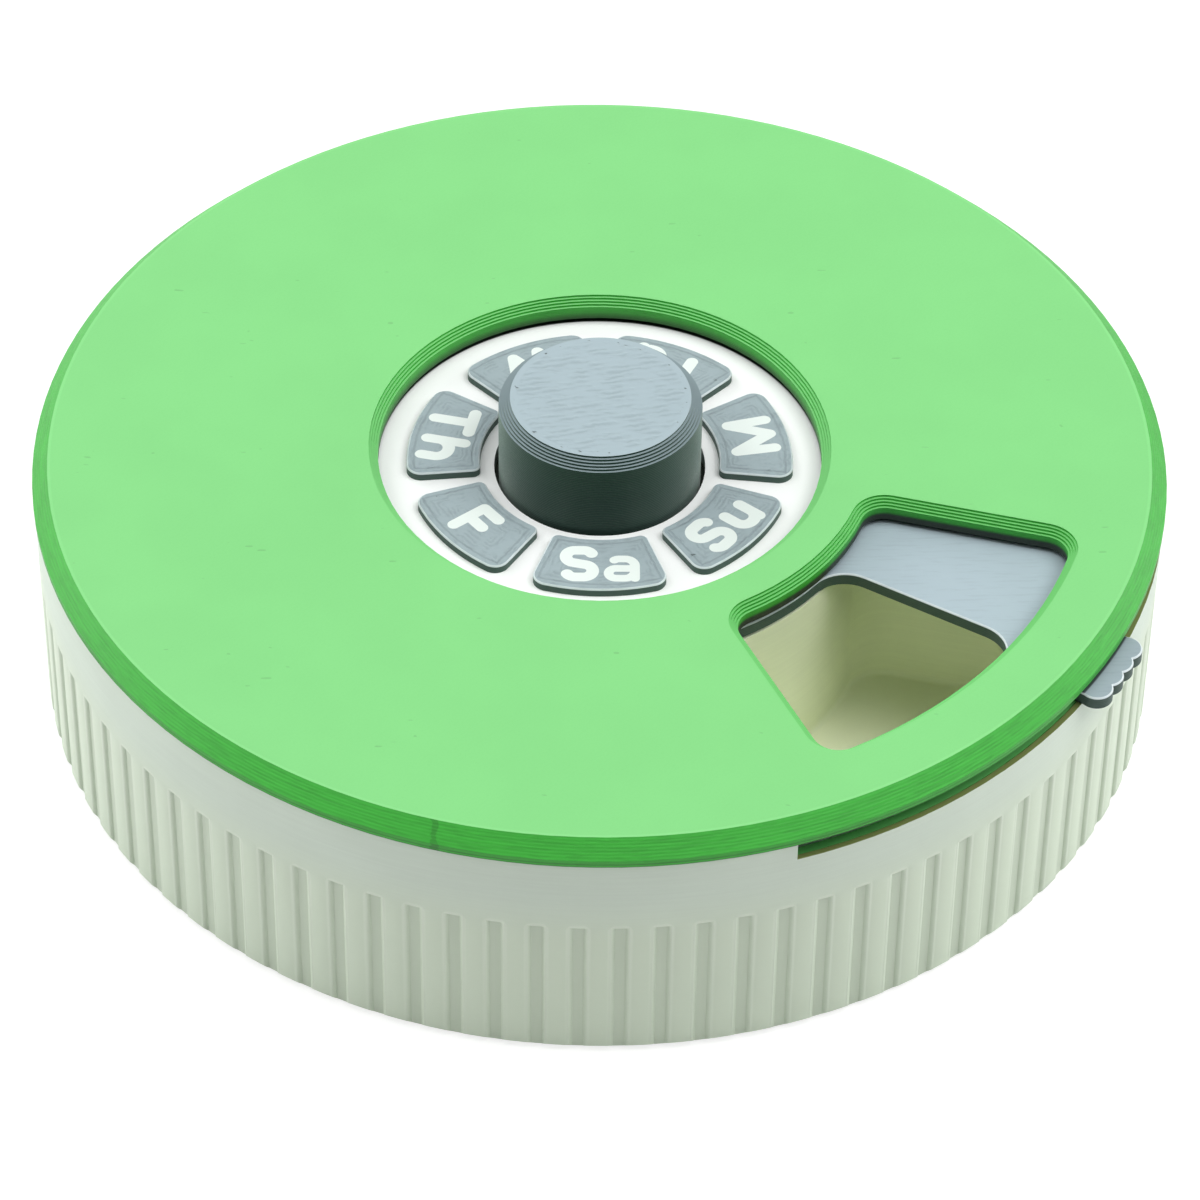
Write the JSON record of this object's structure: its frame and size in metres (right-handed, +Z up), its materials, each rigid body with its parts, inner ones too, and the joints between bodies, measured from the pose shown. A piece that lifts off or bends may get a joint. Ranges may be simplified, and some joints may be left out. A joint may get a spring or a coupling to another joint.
{
  "type": "pill organizer",
  "caption": "Round weekly pill organizer: a knob turns a tray of compartments under a lid, and a sliding shutter opens and closes the window in the lid.",
  "frame": {"origin": "middle of the flat underside of the base, on the axis of the carousel and the shutter", "axes": "+Z up along that axis, -Y towards the front, which is the pictured side"},
  "size_m": [0.1, 0.1, 0.0298],
  "materials": {
    "green_print": "layered matt print",
    "ivory_print": "layered matt print",
    "white_print": "layered matt print",
    "grey_print": "layered matt print",
    "steel": "bright"
  },
  "bodies": {
    "housing": {"base": "ivory_print", "lid": "green_print", "index_ball": "steel", "index_spring": "steel"},
    "shutter": {"shutter": "grey_print"},
    "carousel": {"carousel": "ivory_print", "deck": "white_print", "knob": "grey_print", "knob_screw": "steel", "knob_washer": "steel", "day_tile_saturday": "grey_print", "day_tile_sunday": "grey_print", "day_tile_monday": "grey_print", "day_tile_tuesday": "grey_print", "day_tile_wednesday": "grey_print", "day_tile_thursday": "grey_print", "day_tile_friday": "grey_print", "day_letters_saturday": "white_print", "day_letters_sunday": "white_print", "day_letters_monday": "white_print", "day_letters_tuesday": "white_print", "day_letters_wednesday": "white_print", "day_letters_thursday": "white_print", "day_letters_friday": "white_print"}
  },
  "joints": [
    {"name": "shutter_slide", "type": "hinge", "parent": "housing", "child": "shutter", "pos_m": [0, 0, 0.0212], "axis": [0, 0, 1], "range_deg": [-34.73, 16.7]},
    {"name": "carousel_spin", "type": "hinge", "parent": "housing", "child": "carousel", "pos_m": [0, 0, 0.006], "axis": [0, 0, 1], "continuous": true}
  ]
}
